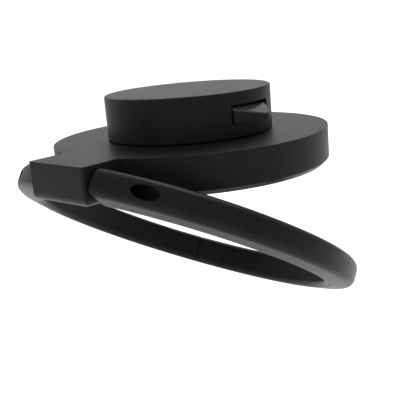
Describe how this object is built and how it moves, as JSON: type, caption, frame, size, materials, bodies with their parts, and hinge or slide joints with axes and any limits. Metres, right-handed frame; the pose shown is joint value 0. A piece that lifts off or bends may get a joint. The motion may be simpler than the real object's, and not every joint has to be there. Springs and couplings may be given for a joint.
{
  "type": "phone ring holder",
  "caption": "Matte black phone ring holder: round snap-in plug with sprung latch tongues, swivelling base disc and a finger ring that folds flat round the base.",
  "frame": {"origin": "middle of the plug's flat face, which lies against the phone", "axes": "+Z along the swivel axis into the phone, X along the ring's hinge, the hinge lug toward -Y"},
  "size_m": [0.0408, 0.0358, 0.0282],
  "materials": {
    "black_aluminium": "matte black anodised",
    "black_plastic": "matte black moulded",
    "white_plastic": "plain natural nylon",
    "steel": "plain bright"
  },
  "bodies": {
    "plug": {"plug_shell": "black_aluminium", "plug_floor": "black_aluminium", "floor_screws": "steel", "swivel_stud": "steel", "disc_spring": "steel", "slip_washer": "black_plastic", "latch_spring_right": "steel", "latch_spring_left": "steel"},
    "base": {"base_plate": "black_aluminium", "base_cap": "black_aluminium", "friction_washer": "white_plastic", "hinge_sleeve": "steel", "hinge_washer_right": "black_plastic", "hinge_washer_left": "black_plastic"},
    "ring": {"finger_ring": "black_aluminium", "hinge_pin": "steel"},
    "latch_right": {"latch_bolt_right": "black_plastic"},
    "latch_left": {"latch_bolt_left": "black_plastic"}
  },
  "joints": [
    {"name": "base_swivel", "type": "hinge", "parent": "plug", "child": "base", "pos_m": [0, 0, -0.00505], "axis": [0, 0, 1], "continuous": true},
    {"name": "ring_hinge", "type": "hinge", "parent": "base", "child": "ring", "pos_m": [0, -0.01725, -0.0075], "axis": [-1, 0, 0], "range_deg": [-31.25, 73.75]},
    {"name": "latch_right_slide", "type": "slide", "parent": "plug", "child": "latch_right", "axis": [-1, 0, 0], "range_m": [0, 0.0009], "stiffness_N_per_m": 1800, "springref_m": -0.0006, "deforming": ["latch_spring_right"]},
    {"name": "latch_left_slide", "type": "slide", "parent": "plug", "child": "latch_left", "axis": [1, 0, 0], "range_m": [0, 0.0009], "stiffness_N_per_m": 1800, "springref_m": -0.0006, "deforming": ["latch_spring_left"]}
  ]
}
